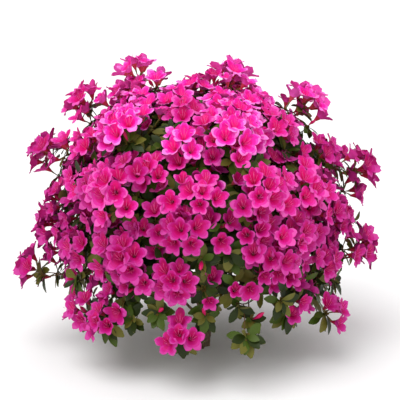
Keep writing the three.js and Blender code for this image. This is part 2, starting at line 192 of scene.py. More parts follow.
def dome_point(direction, reach=0.0):
    """Where the dome lies in a direction: one over the length that the direction has when it
    is measured in the dome's half widths and heights. A power of two for that length makes an
    ellipsoid, a higher one squares it off. Reach is added along the way."""
    above = direction[..., 2:] > 0
    height = np.abs(direction[..., 2:]) / np.where(above, CROWN_RISE, CROWN_DROP)
    width = np.linalg.norm(direction[..., :2] / CROWN_HALVES, axis=-1, keepdims=True)
    power = np.where(above, ROUND_POWER, STEEP_POWER)
    length = (width**power + height**power) ** (1 / power)
    return CROWN_CENTRE + direction * (1 / length + reach)


def leaned(axis, lean, around):
    """The axis tipped by an angle, towards an angle round it."""
    reference = np.where(np.abs(axis[..., 2:]) < 0.9, UP, [1.0, 0.0, 0.0])
    side = unit(np.cross(axis, reference))
    other = np.cross(axis, side)
    aside = side * np.cos(around)[..., None] + other * np.sin(around)[..., None]
    return axis * np.cos(lean)[..., None] + aside * np.sin(lean)[..., None]


def frames_for(y_axis, z_hint):
    """Turning matrices whose y goes along y_axis and whose z keeps as near z_hint as it can."""
    z = unit(z_hint - dot(z_hint, y_axis) * y_axis)
    return np.stack([np.cross(y_axis, z), y_axis, z], -1)


def standing(points, turns, places, sizes=1.0):
    """Copies of a shape, each turned, sized and set at its place. Points: copy, corner, xyz."""
    turned = np.einsum("nij,nvj->nvi", turns, points)
    return turned * np.reshape(sizes, (-1, 1, 1)) + places[:, None]


# %% [markdown]
# ## From arrays to meshes
#
# Two building blocks make the whole plant. A **sheet** is a grid of points with a second grid
# close under it, joined all round at the rim, so that even a petal is a closed thin body. A
# **tube** is a row of rings carried along a path, closed at both ends. Both are computed for
# all copies at once, then their face numbers are repeated with an offset for each copy.

# %% Faces of a closed sheet and of a closed tube
def repeated(faces, copies, corners):
    """One shape's faces for every copy, each copy's corner numbers raised past the last's."""
    offsets = corners * np.arange(copies)[:, None, None]
    return (faces[None] + offsets).reshape(-1, faces.shape[1])


def sheet_faces(rows, columns):
    """Quads of a closed sheet. The upper grid has all the points. The lower grid has its own
    inner points and borrows the rim of the upper one."""
    upper = np.arange(rows * columns).reshape(rows, columns)
    lower = upper.copy()
    lower[1:-1, 1:-1] = rows * columns + np.arange((rows - 2) * (columns - 2)).reshape(rows - 2, -1)

    def quads(grid):
        return np.stack([grid[:-1, :-1], grid[:-1, 1:], grid[1:, 1:], grid[1:, :-1]], -1)

    return quads(upper).reshape(-1, 4), quads(lower).reshape(-1, 4)[:, ::-1]


def sheet_points(upper, thickness):
    """The upper grid's points, then the inner ones of the lower grid: each inner point moved
    back by the thickness along the normal, the cross product of the grid's two directions."""
    copies, rows, columns = upper.shape[:3]
    across = np.gradient(upper, axis=2)
    along = np.gradient(upper, axis=1)
    normal = np.cross(across, along)[:, 1:-1, 1:-1]
    lower = upper[:, 1:-1, 1:-1] - unit(normal) * thickness
    flat = upper.reshape(copies, -1, 3)
    return np.concatenate([flat, lower.reshape(copies, -1, 3)], 1)


def tube_faces(rings, sides):
    """Quads between the rings, and one many-sided cap at each end."""
    ring = np.arange(rings * sides).reshape(rings, sides)
    after = np.roll(ring, -1, axis=1)
    walls = np.stack([ring[:-1], after[:-1], after[1:], ring[1:]], -1).reshape(-1, 4)
    return walls, np.stack([ring[0][::-1], ring[-1]])


def tube_points(paths, radii, sides):
    """Rings round each path. At every point a ring lies across the path's own direction, and
    all rings of a path are turned alike, so that the tube doesn't twist. Radii: path, point,
    and either one value for the whole ring or one for each side."""
    ahead = unit(np.gradient(paths, axis=1))
    whole = unit(paths[:, -1:] - paths[:, :1])
    hint = np.where(np.abs(whole[..., 2:]) < 0.8, UP, [1.0, 0.0, 0.0])
    side = unit(np.cross(ahead, hint))
    other = np.cross(ahead, side)
    angles = 2 * np.pi * np.arange(sides) / sides
    ring = side[:, :, None] * np.cos(angles)[:, None] + other[:, :, None] * np.sin(angles)[:, None]
    points = paths[:, :, None] + ring * radii[..., None]
    return points.reshape(len(paths), -1, 3)


def smooth_paths(stops, shares):
    """Centripetal Catmull-Rom curves: each stretch between two stops is a cubic whose slopes
    at its ends follow from the neighbouring stops and from the square roots of the gaps.
    Stops: curve, stop, xyz. Shares: how far along, from 0 to 1, the same for every curve."""
    before = 2 * stops[:, :1] - stops[:, 1:2]
    after = 2 * stops[:, -1:] - stops[:, -2:-1]
    full = np.concatenate([before, stops, after], 1)
    steps = stops.shape[1] - 1
    stretch = np.minimum((shares * steps).astype(int), steps - 1)
    t = (shares * steps - stretch)[None, :, None]
    p0, p1, p2, p3 = (full[:, stretch + i] for i in range(4))
    g0, g1, g2 = (np.sqrt(np.linalg.norm(b - a, axis=-1, keepdims=True) + 1e-9)
                  for a, b in ((p0, p1), (p1, p2), (p2, p3)))
    slope1 = g1 * ((p1 - p0) / g0 - (p2 - p0) / (g0 + g1) + (p2 - p1) / g1)
    slope2 = g1 * ((p2 - p1) / g1 - (p3 - p1) / (g1 + g2) + (p3 - p2) / g2)
    return (p1 + slope1 * t + (3 * (p2 - p1) - 2 * slope1 - slope2) * t**2
            + (2 * (p1 - p2) + slope1 + slope2) * t**3)


# %% [markdown]
# A piece is put together from parts. A part is its points, its groups of faces, the material
# number of each face, and a place on the unit square for each point that patterns follow.

# %% Joining parts into one named piece
def part(points, faces, finishes, pattern=None):
    """One part from copies of a shape. points: copy, corner, xyz. faces: arrays of one copy's
    faces. finishes: for each array, a material number for each copy and face."""
    copies, corners = points.shape[:2]
    pattern = np.zeros((copies, corners, 2)) if pattern is None else pattern
    groups = [repeated(group, copies, corners) for group in faces]
    numbers = [np.broadcast_to(finish, (copies, len(group))).ravel()
               for finish, group in zip(finishes, faces)]
    return points.reshape(-1, 3), groups, numbers, np.broadcast_to(
        pattern, (copies, corners, 2)).reshape(-1, 2)


def add_piece(name, parts, materials, nodes):
    """A mesh object at the origin, made of all the parts, that stands for CAD nodes."""
    points = np.concatenate([p[0] for p in parts])
    firsts = np.cumsum([0] + [len(p[0]) for p in parts])
    groups = [group + first for p, first in zip(parts, firsts) for group in p[1]]
    finishes = np.concatenate([number for p in parts for number in p[2]])
    pattern = np.concatenate([p[3] for p in parts])
    corners = np.concatenate([group.ravel() for group in groups])
    sizes = np.concatenate([np.full(len(group), group.shape[1]) for group in groups])
    mesh = bpy.data.meshes.new(name)
    mesh.vertices.add(len(points))
    mesh.vertices.foreach_set("co", points.astype(np.float32).ravel())
    mesh.loops.add(len(corners))
    mesh.loops.foreach_set("vertex_index", corners.astype(np.int32))
    mesh.polygons.add(len(sizes))
    mesh.polygons.foreach_set("loop_start", (np.cumsum(sizes) - sizes).astype(np.int32))
    mesh.polygons.foreach_set("material_index", finishes.astype(np.int32))
    mesh.polygons.foreach_set("use_smooth", np.ones(len(sizes), bool))
    layer = mesh.uv_layers.new(name="pattern")
    layer.data.foreach_set("uv", pattern[corners].astype(np.float32).ravel())
    mesh.update(calc_edges=True)
    mesh.set_sharp_from_angle(angle=np.radians(100))
    for material in materials:
        mesh.materials.append(material)
    piece = bpy.data.objects.new(name, mesh)
    bpy.context.scene.collection.objects.link(piece)
    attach(piece, "root")
    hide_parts(*nodes)
    print(name, int((sizes - 2).sum()), "triangles")
    return piece


# %% [markdown]
# ## The parts of the crown
#
# Each mass of the crown has a heart, and everything that lies nearest to a heart belongs to
# its mass. A bough runs from the trunk to each heart.

# %% Hearts of the masses
def hearts_of_rings():
    hearts, labels, rings = [], [], []
    for name, elevation, share, count, turn in RINGS:
        for number in range(count):
            azimuth = np.radians(turn + 360 * number / count)
            pole = dome_point(direction_of(azimuth, np.sin(np.radians(elevation))))
            hearts.append(CROWN_CENTRE + share * (pole - CROWN_CENTRE))
            labels.append(f"{name}_{number + 1}")
            rings.append(name)
    return np.array(hearts), labels, rings


HEARTS, LABELS, MASS_RINGS = hearts_of_rings()


def mass_at(point):
    return int(np.linalg.norm(HEARTS - point, axis=1).argmin())


def room_in(mass, point):
    """How far inside its mass's space a point lies: the distance to the nearest wall, which
    stands halfway between two hearts."""
    others = np.delete(np.arange(len(HEARTS)), mass)
    own = ((point - HEARTS[mass]) ** 2).sum()
    gaps = ((point - HEARTS[others]) ** 2).sum(1) - own
    return (gaps / (2 * np.linalg.norm(HEARTS[others] - HEARTS[mass], axis=1))).min()


print("hearts from", round(HEARTS[:, 2].min(), 3), "to", round(HEARTS[:, 2].max(), 3), "m up")

# %% [markdown]
# ## Where the sprays are
#
# Light decides where an azalea blooms: all over its dome, evenly, with some vigorous leading
# shoots that stand out of it, and low ones round its foot. Those come first. Then an endless
# even spiral proposes places, and each is kept only if it isn't too near one that is already
# there. A place that stands alone becomes a full bouquet at the dome's surface. The others, the
# seats and the side sprays, sit deeper, and deeper still in an opening or where two masses
# meet, so that soft clefts part the crown. Last, each leading shoot gets a few companions,
# because vigorous shoots stand in small groups.

# %% Places for sprays
def spiral_direction(i, lowest, turn=0.0, rise=0.0):
    """The i-th place of an even spiral: two fractions that never fall into step choose the
    azimuth and the sine of the elevation. Turn and rise shift the whole spiral."""
    azimuth = 2 * np.pi * ((i * 0.7548776662 + turn) % 1)
    sine = lowest + (1 - lowest) * ((i * 0.569840291 + rise) % 1)
    return direction_of(azimuth, sine)


def direction_at(azimuth, elevation):
    """The unit vector at an azimuth and elevation, both in degrees."""
    return direction_of(np.radians(azimuth), np.sin(np.radians(elevation)))


def openness_of(direction):
    """From 0, where the bloom is closed, to 1 in the middle of an opening."""
    most = 0.0
    for azimuth, elevation, width in OPENINGS:
        for turn in OPENING_TURNS:
            middle = direction_at(azimuth + turn, elevation)
            away = np.degrees(np.arccos(np.clip(direction @ middle, -1, 1)))
            most = max(most, 1 - float(smoothstep(away, 0.6 * width, 1.2 * width)))
    return most


def spray_places():
    """Each spray: its mouth on the dome, the way it faces, its kind, and how open the bloom is
    there. A kind is shoot, bouquet, seat, side or companion. A place nearer than its spacing to
    one that is there already is left out."""
    mouths, facings, kinds, opens = [], [], [], []

    def add(kind, direction, reach, spacing):
        mouth = dome_point(direction, reach)
        open_here = 0.0 if kind == "shoot" else openness_of(direction)
        if kind in ("seat", "side"):
            room = room_in(mass_at(mouth), mouth)
            cleft = CLEFT_DEPTH * (1 - smoothstep(room, 0, CLEFT_WIDTH))
            full = [m for m, k in zip(mouths, kinds) if k in ("shoot", "bouquet")]
            alone = np.linalg.norm(np.array(full) - mouth, axis=1).min() > BOUQUET_SPACING
            closed = open_here < BOUQUET_OPENNESS
            if kind == "seat" and alone and closed and mouth[2] > LOWEST_BOUQUET:
                kind, sunk = "bouquet", BOUQUET_CLEFT * cleft
            else:
                sunk = cleft + OPENING_DEPTH * open_here + BETWEEN_DEPTH * (kind == "seat")
            mouth = dome_point(direction, reach - sunk - RELIEF * chance(len(mouths), 3))
        if mouths and np.linalg.norm(np.array(mouths) - mouth, axis=1).min() < spacing:
            return
        if kind == "side" and mouth[2] < LOWEST_SIDE:
            return
        lift = LIFT + LOW_LIFT * smoothstep(CROWN_CENTRE[2] - mouth[2], 0.0, 0.2)
        mouths.append(mouth)
        facings.append(unit(direction + lift * UP))
        kinds.append(kind)
        opens.append(open_here)

    for azimuth, elevation, reach in LOW_SHOOTS:
        add("shoot", direction_at(azimuth, elevation), reach, SHOOT_SPACING)
    lean, leaders = np.radians(OUTLINE_LEAN), []
    for turn in np.radians(LEADER_TURNS):
        for angle, reach in LEADERS:
            across, rise = np.cos(np.radians(angle)), np.sin(np.radians(angle))
            back, height = rise * np.sin(lean), rise * np.cos(lean)
            x = across * np.cos(turn) - back * np.sin(turn)
            y = across * np.sin(turn) + back * np.cos(turn)
            if turn and not TURNED_FOOT <= height <= TURNED_TOP:
                continue
            reach = TURNED_REACH * reach if turn else reach
            leaders.append((np.array([x, y, height]), reach))
    for direction, reach in leaders:
        add("shoot", direction, reach, SHOOT_SPACING)
    for i in range(1, SEAT_TRIES):
        add("seat", spiral_direction(i, LOWEST_SINE), 0, SEAT_SPACING)
    for i in range(1, SEAT_TRIES):
        add("side", spiral_direction(i, LOWEST_SINE, 0.37, 0.11), -SIDE_DEPTH, SIDE_SPACING)
    lean = np.full(COMPANIONS, np.radians(COMPANION_TURN))
    for n, (direction, reach) in enumerate(leaders):
        around = 2 * np.pi * (np.arange(COMPANIONS) / COMPANIONS + chance(n, 4))
        for beside in leaned(np.tile(direction, (COMPANIONS, 1)), lean, around):
            add("companion", beside, COMPANION_REACH * reach, COMPANION_SPACING)
    return np.array(mouths), np.array(facings), np.array(kinds), np.array(opens)


MOUTHS, FACINGS, KINDS, OPEN = spray_places()
SPRAYS = np.arange(len(MOUTHS))
LOW = smoothstep(CROWN_CENTRE[2] - MOUTHS[:, 2], *LEAFY_RANGE)
LEAFY_CHANCE = LEAFY_SHARE[0] + (LEAFY_SHARE[1] - LEAFY_SHARE[0]) * LOW
LEAFY_CHANCE += 0.9 * OPEN + 0.3 * smoothstep(0.18 - MOUTHS[:, 2], 0, 0.05)
LEAFY_CHANCE += 0.10 * np.isin(KINDS, ["side", "seat"])
LEAFY_CHANCE -= 0.25 * (KINDS == "bouquet") + 1.0 * (KINDS == "shoot")
LEAFY = chance(SPRAYS, 2) < LEAFY_CHANCE
LEAFY[LEAFY_SHOOT] = True
DEPTHS = FLOWER_LENGTH - np.where(LEAFY, LEAFY_RISE[0] + LEAFY_RISE[1] * LOW, 0)
FEET = MOUTHS - DEPTHS[:, None] * FACINGS
OWNER = np.array([mass_at(foot) for foot in FEET])
SEATS_IN = np.bincount(OWNER[np.isin(KINDS, ["seat", "bouquet"])], minlength=len(HEARTS))
for kind in ("shoot", "bouquet", "seat", "side", "companion"):
    print((KINDS == kind).sum(), kind, "sprays")

# %% [markdown]
# ## How wood grows
#
# Real branching is a bargain between two costs: a twig should be short, and its sap shouldn't
# travel far. Growing the tips one after another, each from the point that is cheapest for it,
# gives forks that look right. How thick a limb is then follows from how many sprays it feeds.

# %% Growing limbs towards their tips
ROOT_STEP = 0.012  # each root after the first counts as this much further along the path


def grown_limbs(roots, tips, loads, reuse, bow=0.0):
    """Joins each tip in turn to the grown point that costs least: its distance, plus a share
    of the path that leads to that point. The middle of each new limb can carry later ones.
    Gives all points, the load that each one carries, and each limb's two points."""
    places, paths = list(roots), [ROOT_STEP * i for i in range(len(roots))]
    parents, carried, limbs = [-1] * len(roots), [0.0] * len(roots), []
    for tip, load in zip(tips, loads):
        known = np.array(places)
        start = int((np.linalg.norm(known - tip, axis=1) + reuse * np.array(paths)).argmin())
        span = np.linalg.norm(known[start] - tip)
        places.append((known[start] + tip) / 2 + bow * span * UP)
        paths.append(paths[start] + span / 2)
        parents.append(start)
        carried.append(0.0)
        limbs.append((start, len(places) - 1))
        joint = len(places) - 1
        while joint >= 0:
            carried[joint] += load
            joint = parents[joint]
    return np.array(places), np.array(carried), np.array(limbs)


def trunk_axis(height):
    """The middle of the trunk at a height: it leans more and more slowly as it rises."""
    share = np.asarray(height)[..., None] / TRUNK_HEIGHT
    return TRUNK_LEAN * share**0.8 + UP * np.asarray(height)[..., None]


def bough_entry(mass, fork):
    """Where a bough has come a little way into its mass's space."""
    share, entry = 1.0, HEARTS[mass]
    while share > SHORTEST_BOUGH and room_in(mass, entry) > ENTRY_ROOM:
        share -= 0.02
        entry = fork + share * (HEARTS[mass] - fork)
    return entry


BOUGH_REUSE = 0.6
BOUGH_BOW = -0.05
fork = trunk_axis(TRUNK_HEIGHT)
entries = np.array([bough_entry(m, fork) for m in range(len(HEARTS))])
bough_order = np.argsort(np.linalg.norm(entries - fork, axis=1), kind="stable")
fork_points = trunk_axis(TRUNK_HEIGHT * np.array(FORKS))
bough_points, bough_loads, boughs = grown_limbs(
    fork_points, entries[bough_order], SEAT_WEIGHT * SEATS_IN[bough_order],
    BOUGH_REUSE, BOUGH_BOW)
bough_stops = np.stack([bough_points[boughs[:, 0]], bough_points[boughs[:, 1]],
                        entries[bough_order], HEARTS[bough_order]], 1)
print(len(boughs), "boughs from", len(fork_points), "forks on the trunk")

# %% [markdown]
# ## Trunk and boughs with the relief of bark
#
# Old azalea bark is thin and grey-brown, with long low ridges that wander along the limb. A
# bump in the material alone would vanish at the outline, so the ridges are in the mesh: the
# radius of each ring changes with the angle round it and the distance along the limb.

# %% Bark relief, trunk and boughs
BARK_SIDES = 20
BARK_RINGS = 36
TRUNK_SIDES = 60
TRUNK_RINGS = 40


def bark_relief(around, along, seed):
    """Ridges from -1 to 1: three waves round the limb, each shifted by slow waves along it,
    and a faster wave along it for the cracks across the ridges."""
    wander = 1.3 * np.sin(70 * along + seed) + 0.8 * np.sin(163 * along + 2 * seed)
    ridges = np.sin(3 * around + wander) + 0.8 * np.sin(7 * around - 1.7 * wander + seed)
    fine = np.sin(13 * around + 2.3 * wander) + np.sin(600 * along + 3 * np.sin(2 * around + seed))
    return (ridges + 0.6 * fine) / 3


def trunk_part():
    """Level rings round the leaning axis. The radius tapers upwards, closes at the crest, and
    widens at the foot by the flare, which five buttresses carry."""
    share = np.linspace(0, 1, TRUNK_RINGS)[:, None] ** 1.3
    height = TRUNK_HEIGHT * share
    around = 2 * np.pi * np.arange(TRUNK_SIDES)[None] / TRUNK_SIDES
    taper = TRUNK_RADIUS + (TRUNK_TOP_RADIUS - TRUNK_RADIUS) * share
    crest = np.sqrt(1 - 0.75 * smoothstep(share, 0.88, 1.0))
    buttress = 0.6 + 0.4 * np.cos(BUTTRESSES * around)
    radius = taper * crest + TRUNK_FLARE * buttress * np.exp(-height / FLARE_HEIGHT)
    radius = radius + 0.0009 * bark_relief(around, height, 1.0)
    level = np.stack([np.cos(around), np.sin(around), 0 * around], -1)
    points = trunk_axis(height[:, 0])[:, None] + radius[..., None] * level
    pattern = np.stack(np.broadcast_arrays(around / 6.3, height / 0.1), -1)
    return part(points.reshape(1, -1, 3), tube_faces(TRUNK_RINGS, TRUNK_SIDES), [0, 0],
                pattern.reshape(1, -1, 2))


def wood_radius(load, finest):
    return finest * np.maximum(1, load) ** WOOD_POWER


def along_share(paths):
    """How far each point is along its path, from 0 to 1, by length."""
    steps = np.linalg.norm(np.diff(paths, axis=1), axis=-1)
    length = np.concatenate([np.zeros((len(paths), 1)), np.cumsum(steps, 1)], 1)
    return length / length[:, -1:], length


def boughs_part():
    paths = smooth_paths(bough_stops, np.linspace(0, 1, BARK_RINGS))
    share, length = along_share(paths)
    thick = np.minimum(wood_radius(bough_loads[boughs[:, 1]], BOUGH_TWIG_RADIUS),
                       0.85 * TRUNK_TOP_RADIUS)
    thin = np.minimum(wood_radius(SEAT_WEIGHT * SEATS_IN[bough_order], BOUGH_TWIG_RADIUS), thick)
    radius = thick[:, None] + (thin - thick)[:, None] * share
    around = 2 * np.pi * np.arange(BARK_SIDES) / BARK_SIDES
    relief = bark_relief(around, length[..., None], np.arange(len(paths))[:, None, None])
    points = tube_points(paths, radius[..., None] * (1 + 0.07 * relief), BARK_SIDES)
    return radius, part(points, tube_faces(BARK_RINGS, BARK_SIDES), [0, 0])


bough_radii, bough_part = boughs_part()
print("boughs up to", round(2000 * float(bough_radii.max()), 1), "mm thick")

# %% [markdown]
# ## Finishes
#
# Petals and leaves get their colour from plain values, a different one for each zone of the
# petal, so that the colours stay exact when the plant is exported. What makes them look alive
# is the surface: fine veins that follow each petal, a grain on petals and leaves alike, and a
# gloss that changes a little from place to place. All of them share one node group for that.

# %% A shared group for the surface of living things
def linear(red, green, blue):
    """A colour given in the 0 to 255 steps of a screen, as the linear values shaders use."""
    values = np.array([red, green, blue]) / 255
    bright = ((values + 0.055) / 1.055) ** 2.4
    return tuple(np.where(values > 0.04045, bright, values / 12.92)) + (1.0,)


def add_node(tree, kind, values=()):
    """A new node of a kind, with plain values on its inputs."""
    node = tree.nodes.new(kind)
    for socket, value in dict(values).items():
        node.inputs[socket].default_value = value
    return node


def link_all(tree, rows):
    """Links nodes. Each row names a node and its output, then a node and its input."""
    for start, output, end, socket in rows:
        tree.links.new(start.outputs[output], end.inputs[socket])


def living_surface_group():
    """Veins are bands across the piece's own pattern, bent by noise. Grain is plain noise."""
    group = bpy.data.node_groups.new("living_surface", "ShaderNodeTree")
    face = group.interface
    for name, value in [("Vein Count", 6.0), ("Vein Height", 0.6), ("Grain Scale", 900.0),
                        ("Smoothest", 0.4), ("Roughest", 0.6)]:
        socket = face.new_socket(name=name, in_out="INPUT", socket_type="NodeSocketFloat")
        socket.default_value = value
    for name in ["Height", "Roughness"]:
        face.new_socket(name=name, in_out="OUTPUT", socket_type="NodeSocketFloat")
    enter = add_node(group, "NodeGroupInput")
    leave = add_node(group, "NodeGroupOutput")
    place = add_node(group, "ShaderNodeTexCoord")
    wave = add_node(group, "ShaderNodeTexWave", {"Distortion": 1.2, "Detail": 1.0})
    wave.bands_direction = "X"
    noise = add_node(group, "ShaderNodeTexNoise")
    veins = add_node(group, "ShaderNodeMath")
    veins.operation = "MULTIPLY"
    both = add_node(group, "ShaderNodeMath")
    both.operation = "ADD"
    spread = add_node(group, "ShaderNodeMapRange")
    link_all(group, [
        (place, "UV", wave, "Vector"),
        (enter, "Vein Count", wave, "Scale"),
        (place, "Object", noise, "Vector"),
        (enter, "Grain Scale", noise, "Scale"),
        (wave, "Fac", veins, 0),
        (enter, "Vein Height", veins, 1),
        (veins, 0, both, 0),
        (noise, "Fac", both, 1),
        (both, 0, leave, "Height"),
        (noise, "Fac", spread, "Value"),
        (enter, "Smoothest", spread, "To Min"),
        (enter, "Roughest", spread, "To Max"),
        (spread, "Result", leave, "Roughness"),
    ])
    return group


LIVING_SURFACE = living_surface_group()


def new_finish(name, values):
    """A material, its node tree, and its shader with plain values on the shader's own sockets."""
    material = bpy.data.materials.new(name)
    material.use_nodes = True
    shader = material.node_tree.nodes["Principled BSDF"]
    for socket, value in values.items():
        shader.inputs[socket].default_value = value
    return material, material.node_tree, shader


def living_finish(name, colour, veins=(6.0, 0.6), gloss=(0.42, 0.6), bump=0.15):
    """A plain base colour, with the shared group's veins as bump and its gloss."""
    material, tree, shader = new_finish(name, {"Base Color": colour, "Specular IOR Level": 0.2})
    surface = tree.nodes.new("ShaderNodeGroup")
    surface.node_tree = LIVING_SURFACE
    for socket, value in zip(["Vein Count", "Vein Height", "Smoothest", "Roughest"], veins + gloss):
        surface.inputs[socket].default_value = value
    relief = add_node(tree, "ShaderNodeBump", {"Strength": bump, "Distance": 0.0005})
    link_all(tree, [
        (surface, "Height", relief, "Height"),
        (surface, "Roughness", shader, "Roughness"),
        (relief, "Normal", shader, "Normal"),
    ])
    return material


def bark_finish():
    """Grey-brown with darker furrows: noise drawn out along the height mixes two browns."""
    material, tree, shader = new_finish("bark", {"Roughness": 0.9})
    place = add_node(tree, "ShaderNodeTexCoord")
    stretch = add_node(tree, "ShaderNodeMapping", {"Scale": (1.0, 1.0, 0.3)})
    noise = add_node(tree, "ShaderNodeTexNoise", {"Scale": 420.0, "Detail": 5.0})
    tones = add_node(tree, "ShaderNodeValToRGB")
    for tone, position, colour in zip(tones.color_ramp.elements, (0.35, 0.68),
                                      (linear(58, 40, 28), linear(122, 98, 76))):
        tone.position = position
        tone.color = colour
    relief = add_node(tree, "ShaderNodeBump", {"Strength": 0.5, "Distance": 0.001})
    link_all(tree, [
        (place, "Object", stretch, "Vector"),
        (stretch, "Vector", noise, "Vector"),
        (noise, "Fac", tones, "Fac"),
        (noise, "Fac", relief, "Height"),
        (tones, "Color", shader, "Base Color"),
        (relief, "Normal", shader, "Normal"),
    ])
    return material


BOUGH_NODES = ["bough_" + label for label in LABELS]
add_piece("wood", [trunk_part(), bough_part], [bark_finish()], ["trunk"] + BOUGH_NODES)

# %% [markdown]
# ## Inner shoots
#
# Between the blooming sprays one looks into the shrub, onto leaves of shoots that end further
# in. Four more layers of tips are placed by the same even spiral, below the first, and the low
# part of the crown gets fewer of them, because an azalea opens up near the ground.

# %% Tips of the inner shoots
# how deep each layer lies, its spacing, and how far under the crown it reaches
INNER_LAYERS = [
    (-0.050, 0.040, -0.56), (-0.090, 0.041, -0.8),
    (-0.126, 0.043, -0.9), (-0.168, 0.048, -0.9),
]
INNER_TRIES = 700


def inner_tips():
    tips, facings = [], []
    for layer, (reach, spacing, lowest) in enumerate(INNER_LAYERS):
        kept = []
        for i in range(1, INNER_TRIES):
            direction = spiral_direction(i, lowest, 0.3 * layer, 0.2 * layer)
            tip = dome_point(direction, reach - 0.015 * chance(i, 40 + layer))
            low = smoothstep(CROWN_CENTRE[2] - tip[2], 0.05, 0.2)
            crowded = kept and np.linalg.norm(np.array(kept) - tip, axis=1).min() < spacing
            if crowded or chance(i, 50 + layer) < 0.3 * low or tip[2] < 0.05:
                continue
            kept.append(tip)
            facings.append(unit(direction + 0.3 * UP))
        tips += kept
    return np.array(tips), np.array(facings)


INNER_TIPS, INNER_FACINGS = inner_tips()
INNER_OWNER = np.array([mass_at(tip) for tip in INNER_TIPS])
print(len(INNER_TIPS), "inner shoots")

# %% [markdown]
# ## Twigs
#
# The twigs of each mass start from the last stretch of its bough, and grow by the same
# bargain as the boughs did.

# %% Twigs of each ring of masses
FINEST_TWIG = 0.00095
TWIG_REUSE = 0.35
TWIG_RINGS = 6
TWIG_SIDES = 5
STEM_SHARES = np.array([0.7, 0.82, 0.9, 0.985])
LAST_STRETCH = 0.012


def twigs_of(mass):
    """Tubes from the grown points to the tips. The last stretch turns to the way its spray
    faces."""
    sprays, inner = OWNER == mass, INNER_OWNER == mass
    tips = np.concatenate([INNER_TIPS[inner], FEET[sprays]])
    facings = np.concatenate([INNER_FACINGS[inner], FACINGS[sprays]])
    order = np.argsort(np.linalg.norm(tips - HEARTS[mass], axis=1), kind="stable")
    tips, facings = tips[order], facings[order]
    stem = bough_stops[list(bough_order).index(mass)][None]
    roots = smooth_paths(stem, STEM_SHARES)[0]
    points, loads, limbs = grown_limbs(roots, tips, np.ones(len(tips)), TWIG_REUSE)
    turning = tips - LAST_STRETCH * facings
    stops = np.stack([points[limbs[:, 0]], points[limbs[:, 1]], turning, tips], 1)
    paths = smooth_paths(stops, np.linspace(0, 1, TWIG_RINGS))
    thick = wood_radius(loads[limbs[:, 1]], FINEST_TWIG)[:, None]
    radius = thick + (FINEST_TWIG - thick) * along_share(paths)[0]
    return part(tube_points(paths, radius[..., None], TWIG_SIDES),
                tube_faces(TWIG_RINGS, TWIG_SIDES), [0, 0])


RING_NAMES = [ring[0] for ring in RINGS]
MASSES_IN = {ring: [m for m, own in enumerate(MASS_RINGS) if own == ring] for ring in RING_NAMES}
NODES_IN = {ring: ["mass_" + LABELS[m] for m in MASSES_IN[ring]] for ring in RING_NAMES}
twig_finish = living_finish("twig", linear(92, 66, 44), veins=(3.0, 0.2), gloss=(0.7, 0.9), bump=0.4)


def add_ring_pieces(kind, parts_of_ring, finishes):
    """One piece of a kind for each ring of masses, that stands for the ring's masses."""
    for ring in RING_NAMES:
        add_piece(f"{kind}_{ring}", parts_of_ring(ring), finishes, NODES_IN[ring])


def twigs_in(ring):
    return [twigs_of(mass) for mass in MASSES_IN[ring]]


add_ring_pieces("twigs", twigs_in, [twig_finish])

# %% [markdown]
# ## Flowers in every spray
#
# One to six flowers open from the tip of a shoot and lean apart. They also push each other
# aside until each has its face in the light. That is done here as it is in nature: any two
# mouths that are too close move apart, a few times over, and each flower turns with its mouth.
# This spaces the mouths only. The flowers are wider than that spacing, so in a dense bouquet
# the petals of neighbours still cross.

# %% How the flowers stand
STALK_SPREAD = 17
TIGHT_SPREAD = 6
TUBE = 0.028
ELBOW_ROOM = 0.032
ROOM_BETWEEN = 0.026
SPREADING_ROUNDS = 12
PUSH = 0.35
STRAIGHTENING = 0.06
# How far flowers lean from their spray, in degrees: the central one, those of a high leading
# shoot, those of a full bouquet and those of a pair, and how much more by chance.
CENTRAL_LEAN, TIGHT_LEAN, FULL_LEAN, PAIR_LEAN, MORE_LEAN = 8, 50, 42, 32, 14
LOW_SHOOT_HEIGHT = 0.16


def flower_count():
    """Leading shoots carry five or six flowers, low ones four, full bouquets five or six,
    others one to three, and leafy ones none."""
    leading = np.where(MOUTHS[:, 2] < LOW_SHOOT_HEIGHT, 4, 5 + (chance(SPRAYS, 2) < 0.6))
    full = 5 + (chance(SPRAYS, 7) > 0.5)
    other = 2 + (chance(SPRAYS, 7) > 0.4 + 0.2 * LOW) - (chance(SPRAYS, 7) < 0.15 + 0.2 * LOW)
    counts = np.where(KINDS == "shoot", leading, np.where(KINDS == "bouquet", full, other))
    return np.where(LEAFY, 0, counts)


